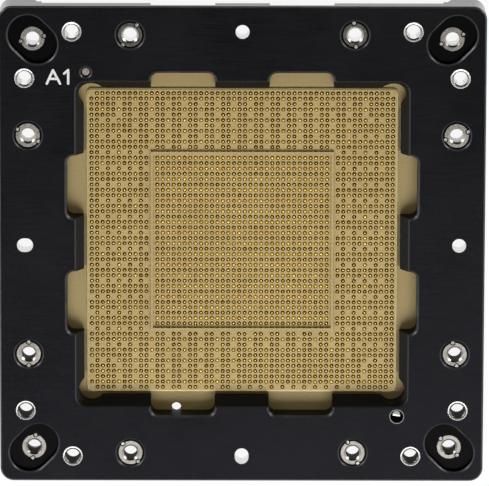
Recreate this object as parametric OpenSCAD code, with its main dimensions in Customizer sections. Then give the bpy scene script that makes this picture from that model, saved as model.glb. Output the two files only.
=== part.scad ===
// Test socket for a square land-grid package: an anodised frame with a guided pocket, a polymer
// probe plate under it, and a field of spring contacts in five drilled blocks. The origin is at
// the middle of the underside, +Z is up, and contact A1 is at -X +Y.

/* [Contacts] */
// Distance between neighbouring contacts
pitch = 1; // [0.9:0.05:1.1]
// Diameter of a slim contact tip
tip_d = 0.46; // [0.3:0.02:0.5]
// Diameter of a stout contact tip
stout_tip_d = 0.58; // [0.5:0.02:0.6]
// Height of a tip over the pad
tip_h = 0.15; // [0.1:0.05:0.4]
// Diameter of the hole that each tip moves in
hole_d = 0.74; // [0.64:0.02:0.78]
// Length of a contact's tail under the retainer
tail_h = 0.25; // [0.1:0.05:0.3]
// Diameter of the flat at the end of a tail
tail_end_d = 0.24; // [0.1:0.02:0.28]

/* [Package pocket] */
// Package edge beyond the middle of its outermost contacts
package_margin = 1.25; // [1:0.05:1.6]
// Room between the package and each guide wall
guide_gap = 0.15; // [0.05:0.05:0.3]
// Corner radius of the guide walls
guide_corner_r = 0.6; // [0.4:0.1:1]
// Run of the lead-in on each side
lead_w = 1.65; // [1:0.1:2]
// Height of the lead-in
lead_h = 2.8; // [2:0.1:3.2]
// Radius of the round relief at each pocket corner
relief_r = 2.4; // [2:0.1:2.8]
// Relief centre inside the guide walls
relief_in = 1.4; // [1:0.1:1.8]
// Width of a side notch
notch_w = 11.7; // [10:0.1:12.5]
// Reach of a side notch beyond the guide wall
notch_reach = 3.05; // [2.5:0.05:3.4]
// Notch centre from the middle of the side
notch_off = 10.8; // [9:0.1:12]
// Corner radius of a side notch
notch_r = 1.4; // [0.8:0.1:2]
// Edge break along the notches
notch_edge = 0.4; // [0.2:0.05:0.6]

/* [Frame] */
// Width of each rail, from the guide wall to the outside
rail_w = 15.4; // [15:0.1:18]
// Height of the frame on its corner legs
frame_h = 8; // [7.6:0.1:9]
// Thickness of the deck between the legs
deck_t = 4.7; // [4.5:0.1:5]
// Radius of the upright corners
frame_corner_r = 2.5; // [1.5:0.1:3.5]
// Edge break round the top of the frame
frame_edge = 0.3; // [0.1:0.05:0.5]
// Side of a square corner leg
leg_w = 7.8; // [7:0.1:8]
// Diameter of the boss round the hole through a leg
leg_boss_d = 7.2; // [6.6:0.1:7.8]
// Height of the outer wall between the legs
wall_h = 3.3; // [2.5:0.1:4]
// Width of the step under that wall
wall_step = 2; // [1:0.1:2.4]
// Height left over the finger channels in the outer wall
channel_h = 1.3; // [1:0.1:2]
// Depth of a finger channel in from the outside
channel_in = 2.8; // [2.2:0.1:2.9]

/* [Threaded inserts] */
// Outside diameter of an insert
insert_od = 4.35; // [4.2:0.05:4.5]
// Minor diameter of its thread
insert_bore_d = 2.46; // [2.2:0.02:2.6]
// Diameter of its countersunk mouth
insert_mouth_d = 3.1; // [2.8:0.05:3.4]
// Length of an insert
insert_l = 4; // [3.6:0.1:4.2]
// Depth of the edge inserts under the deck
insert_sink = 0.25; // [0.1:0.05:0.4]
// Edge insert from the outside of the frame
edge_inset = 5.3; // [5.2:0.1:5.6]
// Edge insert from the end of its side
edge_along = 23.9; // [22:0.1:25]
// Diameter of the countersink round an edge insert
edge_sink_d = 5.6; // [5:0.1:6]
// Corner insert from the two outsides of the frame
corner_inset = 6.2; // [6:0.1:6.4]
// Depth of the corner pockets
corner_pocket_h = 1.2; // [0.8:0.1:1.6]
// Width of a corner pocket
corner_pocket_d = 7.2; // [6.6:0.1:7.4]
// Length that the pocket adds along the diagonal
corner_pocket_run = 2.5; // [1.5:0.1:2.6]
// Diameter of the clearance hole under a corner insert
corner_hole_d = 3.4; // [3:0.1:3.6]
// Diameter of a locking key
key_d = 0.8; // [0.6:0.05:0.9]
// Length of a locking key
key_l = 2.2; // [1.5:0.1:3]
// Gap between a key and its slot in the insert
key_gap = 0.1; // [0.05:0.01:0.12]

/* [Bushes and locating holes] */
// Outside diameter of a guide bush
bush_od = 3.6; // [3.4:0.05:3.8]
// Bore of a guide bush
bush_bore_d = 2.5; // [2.2:0.05:2.6]
// Radius of the rounded mouth of a bush
bush_mouth_r = 0.45; // [0.3:0.05:0.48]
// Bush and alignment hole from the outside of the frame
bush_inset = 4.7; // [4.6:0.1:5]
// Bush from the end of its side
bush_along = 13.3; // [13:0.1:14]
// Diameter of the alignment holes at mid side
align_d = 2.55; // [2.3:0.05:2.8]
// Extra length of the two slotted alignment holes
align_slot = 0.4; // [0.2:0.05:0.8]
// Diameter of the locating dowels
dowel_d = 1.8; // [1.5:0.05:2]
// Dowel beyond the guide wall
dowel_out = 3.2; // [3:0.1:3.4]
// Dowel short of the guide corner
dowel_along = 0.45; // [0.2:0.05:1]
// Depth of the first and second dowel's end under the deck
dowel_sinks = [0.7, 1.8];
// Diameter of the slip hole over the second dowel
dowel_slip_d = 2.45; // [2.2:0.05:2.6]

/* [Probe plate] */
// Pad edge beyond the middle of its outermost contacts
pad_margin = 0.9; // [0.8:0.05:1]
// Height of the pad over the flange
pad_h = 0.6; // [0.4:0.05:0.8]
// Corner radius of the pad
pad_corner_r = 1; // [0.6:0.1:1.2]
// Bevel round the pad
pad_edge = 0.3; // [0.1:0.05:0.35]
// Width of the raised rim round the core contacts
rim_w = 0.44; // [0.3:0.02:0.46]
// Height of that rim over the pad
rim_h = 0.6; // [0.3:0.05:0.8]
// Flange edge beyond the guide wall
flange_lap = 6.6; // [6.4:0.1:7]
// Thickness of the flange
flange_t = 1.6; // [1.4:0.1:1.8]
// Corner radius of the flange and of the retainer
flange_corner_r = 3; // [2:0.1:4]
// Retainer edge beyond the guide wall
retainer_lap = 2.1; // [2:0.05:2.3]
// Thickness of the retainer
retainer_t = 1.3; // [1.2:0.05:1.35]
// Diameter of the vent in the floor of one notch
vent_d = 1.75; // [1.2:0.05:2]
// Vent from the middle of its side
vent_along = 12; // [10:0.1:13]
// Vent beyond the guide wall
vent_out = 2.55; // [2.4:0.05:2.6]

/* [Screws] */
// Diameter of the flange screws
flange_screw_d = 2; // [1.8:0.05:2.2]
// Head diameter of the flange screws
flange_head_d = 3.3; // [3:0.1:3.4]
// Length of the flange screws
flange_screw_l = 4.5; // [4:0.1:5]
// Flange screw beyond the guide wall
flange_screw_out = 4.3; // [4.2:0.1:4.5]
// Flange screw short of the guide corner
flange_screw_along = 4.9; // [4:0.1:6]
// Diameter of the retainer screws
retainer_screw_d = 1; // [0.8:0.05:1.1]
// Head diameter of the retainer screws
retainer_head_d = 1.9; // [1.6:0.1:2]
// Length of the retainer screws
retainer_screw_l = 2.4; // [2:0.1:2.6]
// Retainer screw beyond the guide wall
retainer_screw_out = 0.95; // [0.9:0.05:1]
// Retainer screw short of the guide corner
retainer_screw_along = 9; // [7:0.1:12]

/* [Hidden] */
$fn = 48;
// Gap left round each pressed or screwed piece
fit = 0.01;
// How far a cut runs past the face it opens
over = 1;

// Contact field: rows are counted from the A1 side, columns from the left
grid_n = 56;
core_first = 12;
bank_rows = 7;
banks = grid_n / bank_rows;

field_half = (grid_n - 1) / 2 * pitch;
guide_half = field_half + package_margin + guide_gap;
pad_half = field_half + pad_margin;
frame_half = guide_half + rail_w;
notch_end = guide_half + notch_reach;
flange_half = guide_half + flange_lap;
retainer_half = guide_half + retainer_lap;
rim_half = (grid_n / 2 - core_first + 0.5) * pitch;
core_half = rim_half + pitch / 2;

deck_z = frame_h - deck_t;
pad_z = deck_z + pad_h;
flange_z = deck_z - flange_t;
retainer_z = flange_z - retainer_t;
corner_floor_z = frame_h - corner_pocket_h;
edge_top_z = frame_h - insert_sink;

edge_at = frame_half - edge_inset;
edge_run = frame_half - edge_along;
bush_at = frame_half - bush_inset;
bush_run = frame_half - bush_along;
corner_at = frame_half - corner_inset;
dowel_at = [guide_half - dowel_along, guide_half + dowel_out];

function beside_corners(run, at) = [
    for (y = [1, -1]) for (x = [-1, 1]) each [[x * run, y * at], [x * at, y * run]]];
edge_spots = beside_corners(edge_run, edge_at);
bush_spots = beside_corners(bush_run, bush_at);
corner_spots = [for (y = [1, -1]) for (x = [-1, 1]) [x * corner_at, y * corner_at]];
dowel_spots = [[-dowel_at[0], dowel_at[1]], [dowel_at[0], -dowel_at[1]]];

// Turn at which each insert came to rest when it was screwed in
edge_turns = [55, 150, 95, 20, 130, 90, 115, 100];
corner_turns = [13, 24, 83, 134];

black = "#1c1d20";
tan = "#b09a62";
gold = "#d8a63c";
nickel = "#b9b4aa";
bright = "#dcdcdc";
steel = "#8f8a88";

// Where the field has a contact. Both indices are folded to the nearer side of the field.
function folded(i) = min(i, grid_n - 1 - i);
function thin_from(row) = row == 6 ? 8 : row >= 8 ? 11 : 5;
function in_thin_row(column, row) = column % 3 != 2 || column < thin_from(row);
function skips(column, last) = column % 2 == 0 && column >= 2 && column <= last;
function in_end_band(column, row) =
    row == 0 ? column > 0
    : row == 5 ? !skips(column, 4)
    : row % 2 == 1 ? true
    : row == 8 ? in_thin_row(column, row) && !skips(column, 8)
    : in_thin_row(column, row);
function in_side_band(column, row) =
    column < core_first - 1 && (row % 3 != 2 || column == 0 || column % 2 == 1)
    && !(row == core_first - 1 && column == core_first - 2);
function in_core(column, row) = column >= core_first && row >= core_first;
function in_pattern(column, row) =
    row < core_first - 1 ? in_end_band(column, row) : in_core(column, row) || in_side_band(column, row);

// The side away from A1 departs from that pattern, which keys the package
function in_last_row(column) =
    column < grid_n / 2 - 1 ? column > 0 && in_thin_row(column, 2)
    : column < grid_n - 8 ? column % 2 == 1
    : column > grid_n - 8 && column < grid_n - 1;
function is_filled_row(row) = row == grid_n - 3 || row == grid_n - 5 || row == grid_n - 7;
function filled_row_gap(row) = row == grid_n - 7 ? grid_n - 9 : grid_n - 6;
function has_contact(column, row) =
    row == grid_n - 1 ? in_last_row(column)
    : is_filled_row(row) && column >= grid_n / 2 ? column != filled_row_gap(row)
    : in_pattern(folded(column), folded(row)) && !(column == 0 && row > grid_n - 19 && row % 3 == 2);

function is_core(column, row) = in_core(folded(column), folded(row));
function is_stout(column, row) =
    is_core(column, row) ? row % 2 == 0 : folded(row) % 2 == 1 && folded(column) % 3 == 2;
function place(column, row) = [column * pitch - field_half, field_half - row * pitch];
// Block that a contact stands in: 0 for the core, 1 and 2 for the A1 side and the side away from it,
// 3 and 4 for the left and right between them
function block_of(column, row) =
    is_core(column, row) ? 0
    : row < core_first - 1 ? 1
    : row > grid_n - core_first ? 2
    : column < grid_n / 2 ? 3 : 4;
function holes_for(block) = [
    for (row = [0:grid_n - 1])
        for (column = [0:grid_n - 1])
            if (block_of(column, row) == block && has_contact(column, row)) place(column, row)];
function bank_contacts(bank, stout) = [
    for (row = [bank_rows * (bank - 1):bank_rows * bank - 1])
        for (column = [0:grid_n - 1])
            if (is_stout(column, row) == stout && has_contact(column, row)) place(column, row)];

module at_corners(x, y) {
    for (sx = [-1, 1], sy = [-1, 1]) translate([sx * x, sy * y]) children();
}

module on_four_sides() {
    for (turn = [0:90:270]) rotate(turn) children();
}

module at_each(spots) {
    for (spot = spots) translate(spot) children();
}

module rounded_rectangle(w, d, r) {
    square([w, d - 2 * r], center = true);
    square([w - 2 * r, d], center = true);
    at_corners(w / 2 - r, d / 2 - r) circle(r);
}

// Rounded block whose sides lean inwards by lean over its height, or outwards where lean is negative
module leaning_block(w, d, r, lean, h) {
    rotate([90, 0, 0])
        linear_extrude(d - 2 * r, center = true)
            polygon([[-w / 2, 0], [w / 2, 0], [w / 2 - lean, h], [lean - w / 2, h]]);
    rotate([90, 0, 90])
        linear_extrude(w - 2 * r, center = true)
            polygon([[-d / 2, 0], [d / 2, 0], [d / 2 - lean, h], [lean - d / 2, h]]);
    at_corners(w / 2 - r, d / 2 - r) cylinder(r1 = r, r2 = r - lean, h = h);
}

// Round hole, or a slot along X where run is over zero, with its top at z = 0
module slot_cut(d, run, depth) {
    translate([0, 0, -depth])
        linear_extrude(depth + over) {
            for (x = [-run, run]) translate([x / 2, 0]) circle(d = d);
            if (run > 0) square([run, d], center = true);
        }
}

// Edge break round the mouth of a slot cut, with its top at z = 0
module slot_edge(d, run, edge) {
    for (x = [-run, run])
        translate([x / 2, 0, -edge]) cylinder(d1 = d, d2 = d + 4 * edge, h = 2 * edge);
    if (run > 0)
        rotate([90, 0, 90])
            linear_extrude(run, center = true)
                polygon([[-d / 2, -edge], [d / 2, -edge], [d / 2 + 2 * edge, edge],
                    [-d / 2 - 2 * edge, edge]]);
}

module key_pair(turn, d, h) {
    for (side = [0, 180])
        rotate(turn + side) translate([insert_od / 2, 0, -key_l]) cylinder(d = d, h = h);
}

module key_slots(turn, gap) {
    translate([0, 0, -fit]) key_pair(turn, key_d + 2 * gap, key_l + over);
}

// Hole for an insert and its two keys, with the insert's top at z = 0
module insert_seat(turn) {
    translate([0, 0, -insert_l - fit]) cylinder(d = insert_od + 2 * fit, h = insert_l + fit + over);
    key_slots(turn, fit);
}

module insert(turn) {
    mouth_h = (insert_mouth_d - insert_bore_d) / 2;
    difference() {
        translate([0, 0, -insert_l]) cylinder(d = insert_od, h = insert_l);
        translate([0, 0, -insert_l - over]) cylinder(d = insert_bore_d, h = insert_l + 2 * over);
        translate([0, 0, -mouth_h])
            cylinder(d1 = insert_bore_d, d2 = insert_bore_d + 4 * mouth_h, h = 2 * mouth_h);
        key_slots(turn, key_gap);
    }
}

// Countersunk screw with a hexagon socket, head down, with its underside at z = 0
module countersunk_screw(d, head_d, l) {
    head_h = (head_d - d) / 2;
    difference() {
        union() {
            cylinder(d1 = head_d, d2 = d, h = head_h);
            cylinder(d = d, h = l);
        }
        translate([0, 0, -over]) cylinder(d = 0.55 * d, h = over + 0.6 * head_h, $fn = 6);
    }
}

module countersunk_hole(d, head_d, l) {
    translate([0, 0, -over]) cylinder(d = d + 2 * fit, h = l + over + fit);
    translate([0, 0, -fit])
        cylinder(d1 = head_d + 2 * fit, d2 = d + 2 * fit, h = (head_d - d) / 2);
}

module at_flange_screws() {
    on_four_sides()
        for (x = [-1, 1])
            translate([x * (guide_half - flange_screw_along),
                guide_half + flange_screw_out, flange_z + fit]) children();
}

module at_retainer_screws() {
    on_four_sides()
        for (x = [-1, 1])
            translate([x * (guide_half - retainer_screw_along),
                guide_half + retainer_screw_out, retainer_z + fit]) children();
}

module frame_blank() {
    translate([0, 0, deck_z])
        linear_extrude(deck_t - frame_edge)
            rounded_rectangle(2 * frame_half, 2 * frame_half, frame_corner_r);
    translate([0, 0, frame_h - frame_edge])
        leaning_block(2 * frame_half, 2 * frame_half, frame_corner_r, frame_edge, frame_edge);
    at_corners(frame_half - leg_w / 2, frame_half - leg_w / 2)
        linear_extrude(deck_z + over) rounded_rectangle(leg_w, leg_w, frame_corner_r);
    at_corners(corner_at, corner_at) cylinder(d = leg_boss_d, h = deck_z + over);
}

// Step under the outer wall and the two finger channels, on one side
module side_relief() {
    between_legs = 2 * (frame_half - leg_w);
    translate([-between_legs / 2, frame_half - wall_step, deck_z - over])
        cube([between_legs, wall_step + over, deck_t - wall_h + over]);
    for (x = [-notch_off, notch_off])
        translate([x - notch_w / 2, frame_half - channel_in, deck_z - over])
            cube([notch_w, channel_in + over, deck_t - channel_h + over]);
}

module pocket() {
    guide_w = 2 * guide_half;
    translate([0, 0, deck_z - over])
        linear_extrude(deck_t + 2 * over) {
            rounded_rectangle(guide_w, guide_w, guide_corner_r);
            at_corners(guide_half - relief_in, guide_half - relief_in) circle(relief_r);
        }
    translate([0, 0, frame_h - lead_h])
        leaning_block(guide_w, guide_w, guide_corner_r, -1.25 * lead_w, 1.25 * lead_h);
}

// Side notch from the middle of the pocket outwards, along +Y
module notch() {
    middle = notch_end / 2;
    translate([0, middle, deck_z - over])
        linear_extrude(deck_t + 2 * over) rounded_rectangle(notch_w, notch_end, notch_r);
    translate([0, middle, frame_h - notch_edge])
        leaning_block(notch_w, notch_end, notch_r, -2 * notch_edge, 2 * notch_edge);
}

module frame() {
    color(black)
        difference() {
            frame_blank();
            on_four_sides() side_relief();
            pocket();
            on_four_sides()
                for (x = [-notch_off, notch_off]) translate([x, 0, 0]) notch();
            for (k = [0:7])
                translate([edge_spots[k][0], edge_spots[k][1], edge_top_z]) {
                    insert_seat(edge_turns[k]);
                    translate([0, 0, -insert_l - over - fit]) cylinder(d = insert_mouth_d, h = insert_l);
                    translate([0, 0, insert_sink]) slot_edge(edge_sink_d - 2 * insert_sink, 0, insert_sink);
                    cylinder(d = edge_sink_d - 2 * insert_sink, h = over);
                }
            for (k = [0:3])
                translate([corner_spots[k][0], corner_spots[k][1], corner_floor_z]) {
                    insert_seat(corner_turns[k]);
                    translate([0, 0, -frame_h]) cylinder(d = corner_hole_d, h = frame_h);
                    rotate(corner_spots[k][0] * corner_spots[k][1] > 0 ? 45 : -45) {
                        translate([0, 0, corner_pocket_h])
                            slot_cut(corner_pocket_d, corner_pocket_run, corner_pocket_h);
                        translate([0, 0, corner_pocket_h])
                            slot_edge(corner_pocket_d, corner_pocket_run, frame_edge);
                    }
                }
            translate([0, 0, frame_h]) {
                at_each(bush_spots) slot_cut(bush_od + 2 * fit, 0, deck_t + over);
                for (turn = [0, -90])
                    rotate(turn) translate([0, bush_at, 0]) slot_cut(align_d, 0, deck_t + over);
                for (turn = [90, 180])
                    rotate(turn)
                        translate([0, bush_at, 0]) rotate(90) slot_cut(align_d, align_slot, deck_t + over);
                translate(dowel_spots[0]) {
                    slot_cut(dowel_d + 2 * fit, 0, deck_t + over);
                    slot_edge(dowel_d, 0, frame_edge);
                }
                translate(dowel_spots[1]) slot_cut(dowel_slip_d, 0, deck_t + over);
            }
            at_flange_screws() cylinder(d = flange_screw_d + 2 * fit, h = flange_screw_l + fit);
        }
}

module contact_holes(block) {
    translate([0, 0, flange_z - over])
        linear_extrude(flange_t + pad_h + rim_h + 2 * over)
            at_each(holes_for(block)) circle(d = hole_d, $fn = 16);
}

// Plate that carries the five contact blocks in its window
module probe_plate() {
    window = 2 * (pad_half + fit);
    color(tan)
        difference() {
            translate([0, 0, flange_z])
                linear_extrude(flange_t)
                    difference() {
                        rounded_rectangle(2 * flange_half, 2 * flange_half, flange_corner_r);
                        rounded_rectangle(window, window, pad_corner_r + fit);
                    }
            translate([-vent_along, -guide_half - vent_out, deck_z]) slot_cut(vent_d, 0, flange_t + over);
            translate([0, 0, deck_z]) at_each(dowel_spots) slot_cut(dowel_d + 2 * fit, 0, flange_t + over);
            at_flange_screws() countersunk_hole(flange_screw_d, flange_head_d, flange_screw_l);
            at_retainer_screws() cylinder(d = retainer_screw_d + 2 * fit, h = retainer_screw_l + fit);
        }
}

// Blank of the four blocks round the core, with the bevel that runs round the pad
module pad_blank() {
    translate([0, 0, flange_z])
        linear_extrude(flange_t + pad_h - pad_edge)
            rounded_rectangle(2 * pad_half, 2 * pad_half, pad_corner_r);
    translate([0, 0, pad_z - pad_edge])
        leaning_block(2 * pad_half, 2 * pad_half, pad_corner_r, pad_edge, pad_edge);
}

// One of those blocks, cut out of the blank: 1 and 2 along the ends, 3 and 4 between them
module side_block(k) {
    turn = [0, 180, 90, 270][k - 1];
    half_w = k > 2 ? core_half : pad_half + over;
    color(tan)
        difference() {
            intersection() {
                pad_blank();
                rotate(turn)
                    translate([-half_w, core_half + fit, flange_z - over])
                        cube([2 * half_w, pad_half, flange_t + pad_h + 2 * over]);
            }
            contact_holes(k);
        }
}

// Block of the core contacts, with a raised rim round its top
module core_block() {
    color(tan)
        difference() {
            translate([0, 0, flange_z]) {
                linear_extrude(flange_t + pad_h) square(2 * core_half, center = true);
                linear_extrude(flange_t + pad_h + rim_h)
                    difference() {
                        square(2 * rim_half + rim_w, center = true);
                        square(2 * rim_half - rim_w, center = true);
                    }
            }
            contact_holes(0);
        }
}

module retainer_plate() {
    color(tan)
        difference() {
            translate([0, 0, retainer_z])
                linear_extrude(retainer_t)
                    rounded_rectangle(2 * retainer_half, 2 * retainer_half, flange_corner_r);
            translate([-vent_along, -guide_half - vent_out, flange_z])
                slot_cut(vent_d, 0, retainer_t + over);
            at_retainer_screws() countersunk_hole(retainer_screw_d, retainer_head_d, retainer_screw_l);
        }
}

module flange_screws() {
    color(steel) at_flange_screws() countersunk_screw(flange_screw_d, flange_head_d, flange_screw_l);
}

module retainer_screws() {
    color(steel)
        at_retainer_screws() countersunk_screw(retainer_screw_d, retainer_head_d, retainer_screw_l);
}

// Tips stand on the retainer and reach up through their holes
module contact_tips(bank) {
    reach = flange_t + pad_h + tip_h;
    color(gold)
        translate([0, 0, flange_z]) {
            at_each(bank_contacts(bank, false)) cylinder(d = tip_d, h = reach, $fn = 16);
            at_each(bank_contacts(bank, true)) cylinder(d = stout_tip_d, h = reach, $fn = 16);
        }
}

module contact_tails(bank) {
    color(gold)
        translate([0, 0, retainer_z - tail_h])
            for (stout = [false, true])
                at_each(bank_contacts(bank, stout))
                    cylinder(d1 = tail_end_d, d2 = tip_d, h = tail_h, $fn = 16);
}

module edge_insert(k) {
    color(nickel) translate([edge_spots[k][0], edge_spots[k][1], edge_top_z]) insert(edge_turns[k]);
}

module corner_insert(k) {
    color(nickel)
        translate([corner_spots[k][0], corner_spots[k][1], corner_floor_z]) insert(corner_turns[k]);
}

module edge_keys() {
    color(nickel)
        for (k = [0:7])
            translate([edge_spots[k][0], edge_spots[k][1], edge_top_z])
                key_pair(edge_turns[k], key_d, key_l);
}

module corner_keys() {
    color(nickel)
        for (k = [0:3])
            translate([corner_spots[k][0], corner_spots[k][1], corner_floor_z])
                key_pair(corner_turns[k], key_d, key_l);
}

// Turned bush with a rounded mouth, its top level with the deck
module guide_bush(k) {
    bore_r = bush_bore_d / 2;
    mouth = [for (a = [0:15:90])
        [bore_r + bush_mouth_r * (1 - sin(a)), frame_h - bush_mouth_r * (1 - cos(a))]];
    color(bright)
        translate(bush_spots[k])
            rotate_extrude()
                polygon(concat([[bore_r, deck_z], [bush_od / 2, deck_z], [bush_od / 2, frame_h]], mouth));
}

module locating_dowel(k) {
    top_z = frame_h - dowel_sinks[k];
    bevel = dowel_d / 8;
    color(steel)
        translate([dowel_spots[k][0], dowel_spots[k][1], flange_z]) {
            cylinder(d = dowel_d, h = top_z - flange_z - bevel);
            translate([0, 0, top_z - flange_z - bevel])
                cylinder(d1 = dowel_d, d2 = dowel_d - 2 * bevel, h = bevel);
        }
}

frame();
probe_plate();
core_block();
for (k = [1:4]) side_block(k);
retainer_plate();
flange_screws();
retainer_screws();
for (k = [1:banks]) contact_tips(k);
for (k = [1:banks]) contact_tails(k);
for (k = [1:8]) edge_insert(k - 1);
for (k = [1:4]) corner_insert(k - 1);
edge_keys();
corner_keys();
for (k = [1:8]) guide_bush(k - 1);
for (k = [1:2]) locating_dowel(k - 1);
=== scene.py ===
import math

import bmesh
import bpy
from mathutils import Matrix, Vector


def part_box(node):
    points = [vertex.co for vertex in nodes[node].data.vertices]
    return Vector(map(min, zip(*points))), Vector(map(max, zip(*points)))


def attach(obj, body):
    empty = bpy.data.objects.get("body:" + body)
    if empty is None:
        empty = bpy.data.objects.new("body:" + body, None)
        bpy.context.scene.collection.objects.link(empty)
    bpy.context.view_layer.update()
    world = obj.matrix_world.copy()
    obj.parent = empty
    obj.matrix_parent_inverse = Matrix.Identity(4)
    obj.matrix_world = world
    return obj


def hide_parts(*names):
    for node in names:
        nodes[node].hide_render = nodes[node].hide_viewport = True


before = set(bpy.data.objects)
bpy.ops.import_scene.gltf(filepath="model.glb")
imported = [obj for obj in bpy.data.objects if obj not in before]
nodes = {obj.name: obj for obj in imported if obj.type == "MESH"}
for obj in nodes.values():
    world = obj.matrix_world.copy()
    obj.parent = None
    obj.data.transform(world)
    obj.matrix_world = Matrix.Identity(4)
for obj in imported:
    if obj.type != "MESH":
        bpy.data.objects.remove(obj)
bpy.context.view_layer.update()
scene = bpy.context.scene

# Sizes in metres, some taken from the frame

MM = 0.001
PITCH = 1.0 * MM
DECK_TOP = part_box("frame")[1].z
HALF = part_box("frame")[1].x
PAD_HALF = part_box("side_block_4")[1].x
ALIGN_AT = HALF - 4.7 * MM
ALIGN_REACH = 2.2 * MM
OUTER_BAND = 6 * MM
CORNER_POCKET_REACH = 6.4 * MM
EDGE_SEAT_R = 2.5 * MM
INSERT_BORE_REACH = 1.4 * MM
WALL_END, WALL_FADE = 24.5 * MM, 0.5 * MM
THREAD_PITCH, THREAD_RIPPLE = 0.5 * MM, 0.12 * MM
STOUT_R = 0.26 * MM
KEY_BEVEL = 0.09 * MM
WELD = 0.001 * MM
INDEX_STROKE, INDEX_SUNK, INDEX_PROUD = 0.43 * MM, 0.05 * MM, 0.012 * MM
FLOOR_R, FLOOR_DROP = 2.5, 0.01 * MM

# Bands in metres of painted highlights, glints and shadow: from, to and fade

TIGHT_RIM_HIGHLIGHT = (0.95 * MM, 1.05 * MM, 0.05 * MM)
SLIP_RIM_HIGHLIGHT = (1.2 * MM, 1.32 * MM, 0.05 * MM)
PAD_GAP = (PAD_HALF + 0.04 * MM, PAD_HALF + 0.4 * MM, 0.1 * MM)
EAR_BAND = (4.9 * MM, 16.7 * MM, 0.1 * MM)
SLIP_GLINT = (-0.24 * MM, -0.12 * MM, 0.1 * MM)

# Heights in metres at which painted light and shade change

SUNK_UNDER = DECK_TOP - 0.05 * MM
LEAD_IN_CREST = (DECK_TOP - 0.5 * MM, DECK_TOP - 0.25 * MM)
BUSH_DEPTH = (DECK_TOP - 2.6 * MM, DECK_TOP - 0.6 * MM)

# Where painted light and shade on metal change from the near rail to the far one, along Y

RING_SHADE = (25 * MM, 38 * MM)
BORE_SHINE = (0.0, 30 * MM)
BUSH_SHINE = (-5 * MM, 30 * MM)

# Depths of surface relief in metres

POLISHED_RELIEF, FINE_RELIEF = 0.003 * MM, 0.006 * MM
GOLD_RELIEF, COARSE_RELIEF = 0.008 * MM, 0.01 * MM

# Bands of a normal's rise that tell a face's slope: from, to and fade

UPRIGHT_UNDER = 0.3
LEVEL_OVER = 0.9
BROKEN_EDGE = (0.62, 0.8, 0.04)
LEAD_IN = (0.3, 0.55, 0.02)
BORE_MOUTH = (0.6, 0.8, 0.04)
BUSH_LIP = (0.35, 0.8, 0.1)

# Lower left corner of the index, in mm

INDEX_X, INDEX_Y = -35.5, 30.0

# Shares, angles in radians and counts

HOLE_SHARE = 0.42
NOSE_SHARE = 0.55
NOSE_ANGLES = (0.5, 0.95, 1.3)
TIP_STEPS, KEY_STEPS, STROKE_STEPS, FLOOR_STEPS = 12, 24, 10, 96
NOISE_RANGE = (0.3, 0.7)
WHITE = (1.0, 1.0, 1.0, 1.0)

# Sockets of a Mix node: the factor and the pair for its type of data

MIX_NUMBERS, MIX_COLOURS = (0, 2, 3), (0, 6, 7)


# Node helpers

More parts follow.
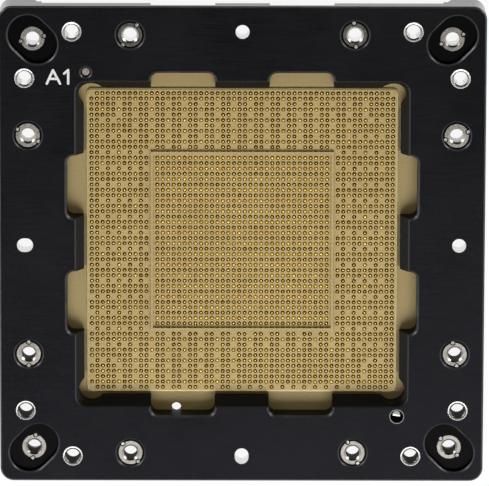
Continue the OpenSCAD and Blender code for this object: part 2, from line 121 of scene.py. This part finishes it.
class Shader:
    """A material with one Principled shader, and short calls for its node tree."""

    def __init__(self, name, **inputs):
        self.material = bpy.data.materials.new(name)
        self.material.use_nodes = True
        self.tree = self.material.node_tree
        self.tree.nodes.clear()
        self.out = self.tree.nodes.new("ShaderNodeOutputMaterial")
        self.bsdf = self.add("BsdfPrincipled", **inputs)
        self.put(self.out.inputs["Surface"], self.bsdf)
        self.place = self.add("TexCoord").outputs["Object"]
        self.shape = self.add("NewGeometry").outputs

    def add(self, kind, at=None, **inputs):
        node = self.tree.nodes.new("ShaderNode" + kind)
        for key, value in (at or {}).items():
            setattr(node, key, value)
        for key, value in inputs.items():
            self.put(node.inputs[key.replace("_", " ")], value)
        return node

    def put(self, socket, value):
        if isinstance(value, bpy.types.NodeSocket):
            self.tree.links.new(value, socket)
        elif isinstance(value, bpy.types.Node):
            self.tree.links.new(value.outputs[0], socket)
        else:
            socket.default_value = value

    def fill(self, sockets, values):
        for socket, value in zip(sockets, values):
            self.put(socket, value)

    def set(self, **inputs):
        for key, value in inputs.items():
            self.put(self.bsdf.inputs[key.replace("_", " ")], value)

    def math(self, operation, *values, clamp=False):
        node = self.add("Math", {"operation": operation, "use_clamp": clamp})
        self.fill(node.inputs, values)
        return node.outputs[0]

    def plus(self, a, b, clamp=False):
        return self.math("ADD", a, b, clamp=clamp)

    def minus(self, a, b, clamp=False):
        return self.math("SUBTRACT", a, b, clamp=clamp)

    def times(self, a, b):
        return self.math("MULTIPLY", a, b)

    def under(self, value, limit):
        return self.math("LESS_THAN", value, limit)

    def over(self, value, limit):
        return self.math("GREATER_THAN", value, limit)

    def largest(self, a, b):
        return self.math("MAXIMUM", a, b)

    def least(self, a, b):
        return self.math("MINIMUM", a, b)

    def unsigned(self, value):
        return self.math("ABSOLUTE", value)

    def vector(self, operation, *values):
        node = self.add("VectorMath", {"operation": operation})
        self.fill(node.inputs, values)
        gives_number = operation in ("LENGTH", "DOT_PRODUCT", "DISTANCE")
        return node.outputs["Value" if gives_number else "Vector"]

    def axes(self, vector):
        return self.add("SeparateXYZ", Vector=vector).outputs

    def length(self, x, y):
        return self.vector("LENGTH", self.add("CombineXYZ", X=x, Y=y).outputs[0])

    def ramp(self, value, low, high, to_low=0.0, to_high=1.0):
        node = self.add("MapRange", {"clamp": True}, Value=value, From_Min=low, From_Max=high)
        self.put(node.inputs["To Min"], to_low)
        self.put(node.inputs["To Max"], to_high)
        return node.outputs[0]

    def between(self, value, low, high, soft):
        """1 where value lies between low and high, fading out over soft."""
        up = self.ramp(value, low - soft, low)
        down = self.ramp(value, high, high + soft)
        return self.minus(up, down, clamp=True)

    def noise(self, scale, detail, roughness, vector=None):
        vector = vector or self.place
        node = self.add("TexNoise", Vector=vector, Scale=scale, Detail=detail, Roughness=roughness)
        return node.outputs["Fac"]

    def spread(self, noise, low=0.0, high=1.0):
        """The noise's usual range, mapped to low and high."""
        return self.ramp(noise, *NOISE_RANGE, low, high)

    def stretch(self, x, y, z):
        return self.vector("MULTIPLY", self.place, (x, y, z))

    def mix(self, factor, a, b):
        node = self.add("Mix", {"data_type": "RGBA"})
        self.fill([node.inputs[k] for k in MIX_COLOURS], (factor, a, b))
        return node.outputs[2]

    def blend(self, factor, a, b):
        node = self.add("Mix", {"data_type": "FLOAT"})
        self.fill([node.inputs[k] for k in MIX_NUMBERS], (factor, a, b))
        return node.outputs[0]

    def bump(self, height, distance, strength, normal=None):
        node = self.add("Bump", Height=height, Distance=distance, Strength=strength)
        if normal is not None:
            self.put(node.inputs["Normal"], normal)
        return node.outputs[0]

    def facing(self):
        return self.axes(self.shape["True Normal"])

    def smooth_facing(self):
        return self.axes(self.shape["Normal"])

    def upright(self, rise):
        return self.under(self.unsigned(rise), UPRIGHT_UNDER)

    def beside(self, node):
        """Distance in plan from the axis of this node."""
        return self.vector("DISTANCE", self.stretch(1, 1, 0), plan_middle(node))

    def beside_any(self, node):
        """Distance in plan from the axis of this node or of the nearest one that mirrors it."""
        short, long = sorted(abs(v) for v in plan_middle(node)[:2])
        x, y, _ = self.axes(self.vector("ABSOLUTE", self.place))
        along = self.minus(self.largest(x, y), long)
        across = self.minus(self.least(x, y), short)
        return self.length(along, across)


def colour(r, g, b):
    return (r, g, b, 1.0)


def grey(level):
    return colour(level, level, level)


def plan_middle(node):
    low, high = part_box(node)
    return ((low.x + high.x) / 2, (low.y + high.y) / 2, 0)


def wear(node_names, material):
    for name in node_names:
        mesh = nodes[name].data
        mesh.materials.clear()
        mesh.materials.append(material)
        for face in mesh.polygons:
            face.material_index = 0


def named(start):
    return sorted(n for n in nodes if n.startswith(start))


# Materials

def make_anodised():
    """Black anodised aluminium with rubbed edges that also carry a painted highlight, matt lead-in slopes
    with painted shade and a painted highlight along the crest, painted shade in the corner pockets and edge
    seats, painted highlights round the dowel holes, and bare alignment holes.
    """
    s = Shader("anodised_black")
    px, py, pz = s.axes(s.vector("ABSOLUTE", s.place))
    _, ny, nz = s.facing()
    upright = s.upright(nz)
    broken = s.between(nz, *BROKEN_EDGE)
    sloped = s.between(nz, *LEAD_IN)
    across = s.ramp(s.unsigned(ny), 0.3, 0.7)
    to_x = s.length(s.minus(px, ALIGN_AT), py)
    to_y = s.length(px, s.minus(py, ALIGN_AT))
    bare = s.times(upright, s.under(s.least(to_x, to_y), ALIGN_REACH))

    grain = s.noise(1.0, 3.0, 0.6, s.stretch(260, 5200, 5200))
    patch = s.noise(70, 3.0, 0.6)
    speck = s.noise(2600, 2.0, 0.6)
    tone = s.plus(s.spread(grain, -0.2, 0.2), s.spread(patch, -0.16, 0.16))
    tone = s.plus(tone, s.ramp(speck, 0.35, 0.65, -0.14, 0.14))
    # The dye's own tone; painted shade and painted highlights are mixed over it below
    deep, pale = colour(0.0034, 0.0035, 0.0042), colour(0.0092, 0.0094, 0.0108)
    dye_and_painted_light = s.mix(s.plus(tone, 0.5, clamp=True), deep, pale)

    # Rubbed edge breaks: part real wear, part painted highlight
    rub_and_highlight = s.times(broken, s.ramp(s.noise(420, 3.0, 0.7), 0.3, 0.75, 0.35, 1.0))
    dye_and_painted_light = s.mix(rub_and_highlight, dye_and_painted_light, colour(0.08, 0.08, 0.084))

    # Painted shade: near black on the corner pocket floors and on the seats round the edge inserts
    pocket_shade = colour(0.0028, 0.0028, 0.003)
    sunk = s.times(s.over(nz, LEVEL_OVER), s.under(pz, SUNK_UNDER))
    pocket = s.under(s.beside_any("corner_insert_1"), CORNER_POCKET_REACH)
    dye_and_painted_light = s.mix(s.times(sunk, pocket), dye_and_painted_light, pocket_shade)
    dye_and_painted_light = s.mix(s.under(s.beside_any("edge_insert_1"), EDGE_SEAT_R), dye_and_painted_light, pocket_shade)

    # Painted highlights: pale rings on the rims of the dowel holes
    tight = s.between(s.beside("locating_dowel_1"), *TIGHT_RIM_HIGHLIGHT)
    slip = s.between(s.beside("locating_dowel_2"), *SLIP_RIM_HIGHLIGHT)
    dye_and_painted_light = s.mix(s.largest(s.times(tight, 0.5), slip), dye_and_painted_light, grey(0.12))

    # Lead-in slopes: painted shade, darker where they face along Y, and a painted highlight along their
    # crest
    slope = s.mix(across, colour(0.02, 0.0195, 0.019), colour(0.0085, 0.008, 0.007))
    crest = s.ramp(pz, *LEAD_IN_CREST)
    crest_highlight = s.mix(across, colour(0.06, 0.061, 0.064), colour(0.024, 0.0245, 0.026))
    dye_and_painted_light = s.mix(sloped, dye_and_painted_light, s.mix(crest, slope, crest_highlight))

    reamed = s.noise(1.0, 3.0, 0.6, s.stretch(1500, 1500, 9000))
    metal = s.mix(s.spread(reamed), grey(0.7), colour(0.9, 0.9, 0.89))
    s.set(Base_Color=s.mix(bare, dye_and_painted_light, metal))

    # Slopes are matt; edge breaks are partly matt, more where they face along X, so that their painted
    # highlight shows from all sides
    matt = s.largest(sloped, s.times(broken, s.ramp(across, 0.0, 1.0, 0.65, 0.25)))
    s.set(Metallic=s.minus(1.0, matt), Specular_IOR_Level=s.blend(sloped, 0.5, 0.02))
    rough = s.plus(s.spread(grain, 0.34, 0.46), s.spread(patch, -0.03, 0.03))
    outside = s.over(s.largest(px, py), HALF - OUTER_BAND)
    rough = s.blend(upright, rough, s.blend(outside, 0.45, 0.16))
    s.set(Roughness=s.blend(bare, rough, 0.3))
    s.set(Normal=s.bump(s.plus(grain, s.times(speck, 0.6)), FINE_RELIEF, 0.5))
    return s.material


def make_polymer(name, low, high):
    """Milled polymer between two colours: painted highlights on pale bevels and lighter upright walls,
    painted shade on brown hole walls, and a dark gap along the guide walls that is painted shadow.
    """
    s = Shader(name)
    px, py, _ = s.axes(s.vector("ABSOLUTE", s.place))
    nz = s.facing()["Z"]
    upright = s.upright(nz)
    broken = s.between(nz, *BROKEN_EDGE)

    passes = s.noise(1.0, 3.0, 0.65, s.stretch(60, 3400, 60))
    fine = s.noise(1.0, 2.0, 0.6, s.stretch(240, 9000, 240))
    blotch = s.noise(130, 3.0, 0.6)
    speck = s.noise(3800, 2.0, 0.6)
    tone = s.plus(s.spread(passes, -0.22, 0.22), s.spread(blotch, -0.12, 0.12))
    tone = s.plus(tone, s.spread(speck, -0.12, 0.12))
    tan = s.mix(s.plus(tone, 0.5, clamp=True), colour(*low), colour(*high))
    # Painted highlight: pale bevels
    tan = s.mix(s.times(broken, 0.85), tan, colour(0.75, 0.62, 0.3))

    # Painted shadow: a dark strip in the gap between the pad and the guide walls, left out where the ears
    # open
    gap = s.between(s.largest(px, py), *PAD_GAP)
    along = s.least(px, py)
    side = s.ramp(along, WALL_END, WALL_END + WALL_FADE, 1.0, 0.0)
    walled = s.minus(side, s.between(along, *EAR_BAND), clamp=True)
    tan = s.mix(s.times(gap, walled), tan, colour(0.15, 0.107, 0.032))
    # Painted light: upright walls lighter
    tan = s.mix(s.times(upright, 0.7), tan, colour(0.46, 0.36, 0.15))

    # Painted shade: dark brown hole walls round the contacts, with no specular there
    cell = s.vector("FRACTION", s.stretch(1 / PITCH, 1 / PITCH, 0))
    off_grid = s.vector("LENGTH", s.vector("SUBTRACT", cell, (0.5, 0.5, 0)))
    hole = s.times(upright, s.under(off_grid, HOLE_SHARE))
    tan = s.mix(hole, tan, colour(0.05, 0.023, 0.001))

    s.set(Base_Color=tan, Specular_IOR_Level=s.blend(hole, 0.4, 0.0))
    s.set(Roughness=s.spread(passes, 0.42, 0.58))
    s.set(Normal=s.bump(s.plus(passes, s.times(fine, 0.7)), COARSE_RELIEF, 0.6))
    return s.material


def make_gold(name, dark_until, rich_from):
    """Worn gold, dark with painted shade on flanks whose normal rises less than the first sine, and rich
    over the second.
    """
    s = Shader(name, Metallic=1.0)
    island = s.shape["Random Per Island"]
    nz = s.smooth_facing()["Z"]
    scuff = s.noise(6000, 3.0, 0.6)
    tone = s.plus(s.times(island, 0.7), s.times(scuff, 0.35), clamp=True)
    rich = s.mix(tone, colour(0.38, 0.18, 0.012), colour(0.8, 0.55, 0.11))
    # Painted shade on the flanks
    flank_shade = colour(0.075, 0.034, 0.002)
    s.set(Base_Color=s.mix(s.ramp(nz, dark_until, rich_from), flank_shade, rich))
    s.set(Roughness=s.plus(s.spread(scuff, 0.4, 0.52), s.times(island, 0.08)))
    s.set(Normal=s.bump(scuff, GOLD_RELIEF, 0.4))
    return s.material


def make_nickel(name, like, shade):
    """Satin nickel with painted shade that darkens it to shade towards the far rail, painted light and
    shade on the bore mouth, and a thread's ripple on upright walls.

    The bores of the inserts that mirror the node like carry a painted reflection that shines towards the
    far rail; other upright walls carry painted shade.
    """
    s = Shader(name, Metallic=1.0)
    _, py, pz = s.axes(s.place)
    nx, ny, nz = s.facing()
    upright = s.upright(nz)
    scuff = s.noise(2400, 3.0, 0.65)
    cloud = s.noise(420, 2.0, 0.6)
    tone = s.plus(s.spread(scuff, 0.0, 0.6), s.spread(cloud, 0.0, 0.4), clamp=True)
    satin_and_painted_light = s.mix(tone, colour(0.1, 0.092, 0.082), colour(0.23, 0.217, 0.198))
    # Painted shade: the ring darker towards the far rail
    darker = s.vector("MULTIPLY", satin_and_painted_light, (shade, shade, shade))
    satin_and_painted_light = s.mix(s.ramp(py, *RING_SHADE), satin_and_painted_light, darker)

    # Painted light and shade on the bore mouth: pale, and dark where it faces +Y
    lip = s.mix(s.ramp(ny, 0.52, 0.64), colour(0.85, 0.82, 0.76), colour(0.06, 0.055, 0.045))
    satin_and_painted_light = s.mix(s.between(nz, *BORE_MOUTH), satin_and_painted_light, lip)
    # Painted reflection: bores of the matching inserts turn white towards the far rail; painted shade:
    # other upright walls dark
    lit = s.times(s.under(s.beside_any(like), INSERT_BORE_REACH), s.ramp(py, *BORE_SHINE))
    wall = s.mix(lit, colour(0.06, 0.055, 0.047), colour(0.95, 0.94, 0.92))
    s.set(Base_Color=s.mix(upright, satin_and_painted_light, wall))
    s.set(Roughness=s.blend(upright, s.spread(scuff, 0.28, 0.46), s.blend(lit, 0.7, 0.3)))

    turn = s.math("ARCTAN2", ny, nx)
    helix = s.math("SINE", s.plus(s.times(pz, 2 * math.pi / THREAD_PITCH), turn))
    ripple = s.bump(s.times(helix, upright), THREAD_RIPPLE, s.blend(lit, 0.8, 0.1))
    s.set(Normal=s.bump(scuff, FINE_RELIEF, 0.5, ripple))
    return s.material


def make_key_steel():
    """Scratched key end, dark with painted shade where it is bevelled."""
    s = Shader("key_steel", Metallic=1.0)
    nz = s.facing()["Z"]
    scratch = s.noise(3400, 3.0, 0.7)
    top = s.mix(s.ramp(scratch, 0.35, 0.65), colour(0.05, 0.048, 0.044), colour(0.34, 0.33, 0.31))
    # Painted shade: near black on the bevel
    s.set(Base_Color=s.mix(s.ramp(nz, 0.75, 0.95), grey(0.006), top))
    s.set(Roughness=s.spread(scratch, 0.3, 0.5), Normal=s.bump(scratch, COARSE_RELIEF, 0.6))
    return s.material


def make_polished():
    """Polished bush: a pale ring with painted light and shade by facing and a painted glint, and a bore
    with painted shade on the near rail and a painted reflection on the far one.
    """
    s = Shader("bush_polished")
    _, py, pz = s.axes(s.place)
    nx, ny, nz = s.smooth_facing()
    far = s.ramp(py, *BUSH_SHINE)
    mouth = s.ramp(nz, 0.55, 0.85, 1.0, 0.0)
    wall = s.ramp(nz, 0.1, 0.3, 1.0, 0.0)
    fine = s.noise(1.0, 2.0, 0.6, s.stretch(900, 900, 9000))
    smear = s.noise(500, 2.0, 0.6)
    which = s.times(s.add("ObjectInfo").outputs["Random"], 40.0)
    around = s.add("CombineXYZ", X=nx, Y=ny, Z=which).outputs[0]
    sway = s.ramp(s.noise(1.7, 1.0, 0.5, around), 0.35, 0.65, -0.25, 0.25)
    front = s.plus(ny, sway)

    # Painted light and shade: the ring darker where it faces -Y
    ring = s.mix(s.ramp(ny, -0.35, 0.1), colour(0.07, 0.069, 0.066), colour(0.34, 0.335, 0.32))
    ring = s.mix(s.times(smear, 0.3), ring, colour(0.42, 0.415, 0.4))
    # Painted glint: near white and partly matt on the mouth's sides facing +Y
    glint = s.times(s.ramp(ny, 0.1, 0.3), s.ramp(s.unsigned(nx), 0.35, 0.55))
    glint = s.times(glint, mouth)
    ring = s.mix(glint, ring, colour(0.9, 0.89, 0.86))
    # Painted shade: dark on the mouth where it faces +Y
    ring = s.mix(s.times(mouth, s.ramp(front, 0.5, 0.75)), ring, colour(0.035, 0.032, 0.026))

    # Painted light on the far rail: a paler face, a white painted reflection in the bore and painted shade
    # on the lip
    face = s.ramp(mouth, 0.0, 1.0, 0.7, 0.0)
    ring = s.mix(s.times(far, face), ring, colour(0.62, 0.6, 0.56))
    ring = s.mix(s.times(far, wall), ring, colour(0.97, 0.96, 0.94))
    lip = s.times(s.between(nz, *BUSH_LIP), s.ramp(front, 0.35, 0.6))
    ring = s.mix(s.times(far, lip), ring, colour(0.02, 0.019, 0.017))

    # Painted shade in near rail bores, darkest deep down
    near = s.ramp(far, 0.0, 1.0, 1.0, 0.0)
    shaded = s.times(s.times(wall, s.ramp(front, -0.3, 0.0)), near)
    height = s.ramp(pz, *BUSH_DEPTH)
    dark = s.mix(height, colour(0.02, 0.018, 0.014), colour(0.12, 0.11, 0.092))
    s.set(Base_Color=s.mix(shaded, ring, dark), Metallic=s.ramp(glint, 0.0, 1.0, 1.0, 0.35))
    s.set(Roughness=s.blend(shaded, s.spread(smear, 0.22, 0.32), 0.8))
    s.set(Normal=s.bump(fine, POLISHED_RELIEF, 0.4))
    return s.material


def make_steel():
    """Scuffed steel of the dowel and the screws."""
    s = Shader("dowel_steel", Metallic=1.0)
    scuff = s.noise(1800, 3.0, 0.65)
    cloud = s.noise(300, 2.0, 0.6)
    s.set(Base_Color=s.mix(s.spread(scuff), colour(0.13, 0.112, 0.106), colour(0.27, 0.242, 0.23)))
    s.set(Roughness=s.spread(cloud, 0.3, 0.45), Normal=s.bump(scuff, FINE_RELIEF, 0.5))
    return s.material


def make_slip_end():
    """End of the dowel in its slip hole: a bright slanting painted glint over a front in painted shade."""
    s = Shader("slip_dowel", Metallic=1.0)
    slant, ragged, front = (0.2, 0.98, 0), 0.06 * MM, -0.35 * MM
    scuff = s.noise(1800, 3.0, 0.65)
    off_axis = s.vector("SUBTRACT", s.place, plan_middle("locating_dowel_2"))
    across = s.plus(s.vector("DOT_PRODUCT", off_axis, slant), s.spread(scuff, -ragged, ragged))
    # Painted shade on the front and a painted glint across the end
    end = s.mix(s.ramp(across, front, 0.0), colour(0.012, 0.011, 0.01), colour(0.13, 0.132, 0.12))
    glint = s.between(across, *SLIP_GLINT)
    s.set(Base_Color=s.mix(glint, end, colour(0.9, 0.9, 0.88)))
    s.set(Roughness=s.spread(scuff, 0.3, 0.45), Normal=s.bump(scuff, FINE_RELIEF, 0.5))
    return s.material


def make_ink():
    """Gritty white fill of the index."""
    s = Shader("index_ink", Specular_IOR_Level=0.3)
    grit = s.noise(5200, 3.0, 0.7)
    s.set(Base_Color=s.mix(s.spread(grit), colour(0.46, 0.46, 0.44), colour(0.78, 0.78, 0.76)))
    s.set(Roughness=s.spread(grit, 0.5, 0.7), Normal=s.bump(grit, COARSE_RELIEF, 0.5))
    return s.material


anodised = make_anodised()
polymer = make_polymer("tan_polymer", (0.27, 0.187, 0.053), (0.442, 0.326, 0.122))
flange_tan = make_polymer("flange_polymer", (0.235, 0.168, 0.05), (0.305, 0.224, 0.075))
gold = make_gold("contact_gold", 0.35, 0.92)
stout_gold = make_gold("stout_gold", 0.1, 0.55)
corner_nickel = make_nickel("corner_nickel", "corner_insert_1", 0.9)
edge_nickel = make_nickel("edge_nickel", "edge_insert_1", 0.4)
key_steel = make_key_steel()
polished = make_polished()
steel = make_steel()
slip_end = make_slip_end()
ink = make_ink()

wear(["frame"], anodised)
wear(["probe_plate", "retainer_plate"], flange_tan)
wear(["core_block"] + named("side_block_"), polymer)
wear(named("contact_tails_") + named("contact_tips_"), gold)
wear(named("edge_insert_"), edge_nickel)
wear(named("corner_insert_"), corner_nickel)
wear(["edge_keys", "corner_keys"], key_steel)
wear(named("guide_bush_"), polished)
wear(["locating_dowel_1", "flange_screws", "retainer_screws"], steel)
wear(["locating_dowel_2"], slip_end)


# Pieces

def mesh_from(bm, name):
    mesh = bpy.data.meshes.new(name)
    bm.to_mesh(mesh)
    bm.free()
    return mesh


def object_from(data, name):
    obj = bpy.data.objects.new(name, data)
    scene.collection.objects.link(obj)
    return obj


def piece(name, mesh, materials):
    obj = object_from(mesh, name)
    for material in materials:
        mesh.materials.append(material)
    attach(obj, "root")
    return obj


def close_rings(bm, rings):
    """Faces between rings of points in order, with a cap on the first and the last."""
    faces = [bm.faces.new(rings[-1]), bm.faces.new(list(reversed(rings[0])))]
    count = len(rings[0])
    for a, b in zip(rings, rings[1:]):
        for k in range(count):
            n = (k + 1) % count
            faces.append(bm.faces.new((a[k], a[n], b[n], b[k])))
    return faces


def solids_of(node):
    """The (lowest, highest) corners of each separate solid in a node."""
    bm = bmesh.new()
    bm.from_mesh(nodes[node].data)
    bmesh.ops.remove_doubles(bm, verts=bm.verts, dist=WELD)
    boxes = []
    for start in bm.verts:
        if start.tag:
            continue
        start.tag = True
        rim, own = [start], []
        while rim:
            v = rim.pop()
            own.append(v.co.copy())
            for edge in v.link_edges:
                other = edge.other_vert(v)
                if not other.tag:
                    other.tag = True
                    rim.append(other)
        boxes.append([Vector([pick(v[k] for v in own) for k in range(3)]) for pick in (min, max)])
    bm.free()
    return boxes


def turned(node, name, materials, profile, steps):
    """Turned pieces in the places of a node's cylinders, to the (radius, height) list of a profile.

    The profile takes a cylinder's radius, foot and top. Where there are two materials, cylinders over
    STOUT_R take the second.
    """
    turns = [2 * math.pi * k / steps for k in range(steps)]
    bm = bmesh.new()
    for low, high in solids_of(node):
        middle, r = (low + high) / 2, (high.x - low.x) / 2
        rings = []
        for rr, z in profile(r, low.z, high.z):
            circle = [(middle.x + rr * math.cos(a), middle.y + rr * math.sin(a), z) for a in turns]
            rings.append([bm.verts.new(point) for point in circle])
        for face in close_rings(bm, rings):
            face.material_index = len(materials) - 1 if r > STOUT_R else 0
    obj = piece(name, mesh_from(bm, name), materials)
    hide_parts(node)
    return obj


def tip_profile(r, low, high):
    """Plain shank and a round nose."""
    nose = NOSE_SHARE * r
    round_end = [(r * math.cos(a), high - nose + nose * math.sin(a)) for a in NOSE_ANGLES]
    return [(r, low), (r, high - nose)] + round_end


def key_profile(r, low, high):
    """Plain shank with a bevelled top."""
    return [(r, low), (r, high - KEY_BEVEL), (r - KEY_BEVEL, high)]


def stroke(start, end):
    """Flat stroke of the index with round ends, between two points of its plan."""
    along = (end - start).normalized()
    angle = math.atan2(along.y, along.x)
    r = INDEX_STROKE / 2
    rim = []
    for centre, turn in ((end, -math.pi / 2), (start, math.pi / 2)):
        for k in range(STROKE_STEPS + 1):
            a = angle + turn + math.pi * k / STROKE_STEPS
            rim.append((centre.x + r * math.cos(a), centre.y + r * math.sin(a)))
    bm = bmesh.new()
    levels = (DECK_TOP - INDEX_SUNK, DECK_TOP + INDEX_PROUD)
    close_rings(bm, [[bm.verts.new((x, y, z)) for x, y in rim] for z in levels])
    return object_from(mesh_from(bm, "stroke"), "stroke")


def index_point(x, y):
    """A point in mm from the index's corner, in metres from the middle of the deck."""
    return Vector((INDEX_X + x, INDEX_Y + y)) * MM


def make_index():
    """Filled A1 index beside the first contact, in round-ended strokes."""
    foot_left, peak, foot_right = (0.0, 0.0), (1.12, 2.5), (2.4, 0.0)
    bar_left, bar_right = (0.45, 0.9), (1.9, 0.9)
    stem_foot, stem_top, flag = (3.88, 0.02), (3.88, 2.52), (3.14, 1.85)
    letters = {
        "index_A": [(foot_left, peak), (peak, foot_right), (bar_left, bar_right)],
        "index_1": [(stem_foot, stem_top), (stem_top, flag)],
    }
    for name, strokes in letters.items():
        parts = [stroke(index_point(*start), index_point(*end)) for start, end in strokes]
        for part in parts[1:]:
            join = parts[0].modifiers.new("join", "BOOLEAN")
            join.operation = "UNION"
            join.solver = "EXACT"
            join.object = part
        joined = parts[0].evaluated_get(bpy.context.evaluated_depsgraph_get())
        mesh = bpy.data.meshes.new_from_object(joined)
        for part in parts:
            bpy.data.objects.remove(part)
        mesh.name = name
        mesh.materials.clear()
        piece(name, mesh, [ink])


for bank in named("contact_tips_"):
    nosed = bank.replace("contact", "nosed")
    tips = turned(bank, nosed, [gold, stout_gold], tip_profile, TIP_STEPS)
    for face in tips.data.polygons:
        face.use_smooth = True
for keys in ("edge_keys", "corner_keys"):
    turned(keys, "bevelled_" + keys, [key_steel], key_profile, KEY_STEPS)
make_index()


# Stage, light and camera

def make_floor():
    """Pale floor that shows as white to the camera and in metal."""
    bm = bmesh.new()
    bmesh.ops.create_circle(bm, cap_ends=True, segments=FLOOR_STEPS, radius=FLOOR_R)
    floor = object_from(mesh_from(bm, "floor"), "floor")
    floor.location.z = -FLOOR_DROP
    s = Shader("pale_floor", Roughness=0.9, Specular_IOR_Level=0.1)
    s.set(Base_Color=s.mix(s.noise(900, 2.0, 0.6), grey(0.86), grey(0.9)))
    path = s.add("LightPath").outputs
    mirrored = s.largest(path["Is Glossy Ray"], path["Is Transmission Ray"])
    seen = s.largest(path["Is Camera Ray"], mirrored)
    glow = s.add("Emission", Color=WHITE, Strength=1.0)
    mixed = s.add("MixShader")
    s.fill(mixed.inputs, (s.times(seen, 0.9), s.bsdf, glow))
    s.put(s.out.inputs["Surface"], mixed)
    floor.data.materials.append(s.material)


def make_world(levels):
    """Surround lit by (sine of the height, level) pairs, and white to the camera."""
    world = bpy.data.worlds.new("studio")
    scene.world = world
    world.use_nodes = True
    tree = world.node_tree
    tree.nodes.clear()
    new, link = tree.nodes.new, tree.links.new
    out = new("ShaderNodeOutputWorld")
    height = new("ShaderNodeSeparateXYZ")
    link(new("ShaderNodeTexCoord").outputs["Generated"], height.inputs[0])
    fade = new("ShaderNodeValToRGB")
    stops = fade.color_ramp.elements
    for at, level in levels[1:-1]:
        stops.new(at)
    for stop, (at, level) in zip(stops, levels):
        stop.position = at
        stop.color = grey(level)
    link(height.outputs["Z"], fade.inputs["Fac"])
    path = new("ShaderNodeLightPath")
    tint = new("ShaderNodeMix")
    tint.data_type = "RGBA"
    factor, unseen, seen = (tint.inputs[k] for k in MIX_COLOURS)
    link(path.outputs["Is Camera Ray"], factor)
    link(fade.outputs["Color"], unseen)
    seen.default_value = WHITE
    light = new("ShaderNodeBackground")
    link(tint.outputs[2], light.inputs["Color"])
    link(light.outputs[0], out.inputs["Surface"])


def make_lamp(name, at, size, watts):
    """Soft lamp that faces the socket."""
    aim = Vector((0, 0, 5 * MM))
    lamp = bpy.data.lights.new(name, "AREA")
    lamp.shape = "RECTANGLE"
    lamp.size, lamp.size_y = size
    lamp.energy = watts
    obj = object_from(lamp, name)
    obj.location = at
    obj.rotation_euler = (aim - Vector(at)).to_track_quat("-Z", "Y").to_euler()


def make_camera():
    """Looks down at the deck, leaning towards the picture's upper edge.

    The photo's size and the place of the deck's middle in it are in pixels.
    """
    width, height = 489, 486
    middle_x, middle_y = 242.1, 245.6
    pixels_per_metre = 5.4822 / MM
    distance, sensor = 1.2, 36
    lean_x, lean_y, roll = math.radians(-0.23), math.radians(12.31), math.radians(0.14)
    aim_x = (width / 2 - middle_x) / pixels_per_metre
    aim_y = (middle_y - height / 2) / pixels_per_metre
    aim = Vector((aim_x, aim_y, DECK_TOP))
    back = Vector((math.tan(lean_x), math.tan(lean_y), 1)).normalized()
    up = Vector((0, 1, 0))
    up = (up - back * up.dot(back)).normalized()
    right = up.cross(back)
    turned_right = right * math.cos(roll) + up * math.sin(roll)
    turned_up = up * math.cos(roll) - right * math.sin(roll)
    data = bpy.data.cameras.new("camera")
    data.sensor_fit = "HORIZONTAL"
    data.sensor_width = sensor
    data.lens = sensor * distance * pixels_per_metre / width
    data.clip_start, data.clip_end = 0.01, 20
    camera = object_from(data, "camera")
    turn = Matrix((turned_right, turned_up, back)).transposed().to_4x4()
    camera.matrix_world = Matrix.Translation(aim + back * distance) @ turn
    scene.camera = camera


SURROUND = [(0.0, 0.45), (0.14, 0.45), (0.28, 0.12), (0.55, 0.12), (0.85, 0.42), (1.0, 0.42)]
SIDES = (("left", -1), ("right", 1))

make_floor()
make_world(SURROUND)
make_lamp("key_soft", (0.05, -0.46, 0.7), (0.6, 0.4), 7.5)
for side, sign in SIDES:
    make_lamp("side_" + side, (sign * 0.95, -0.1, 0.5), (0.5, 0.4), 0.8)
for side, sign in SIDES:
    make_lamp("strip_" + side, (sign * 0.75, 0.56, 0.14), (0.16, 0.3), 2.5)
make_camera()
scene.view_settings.view_transform = "Standard"
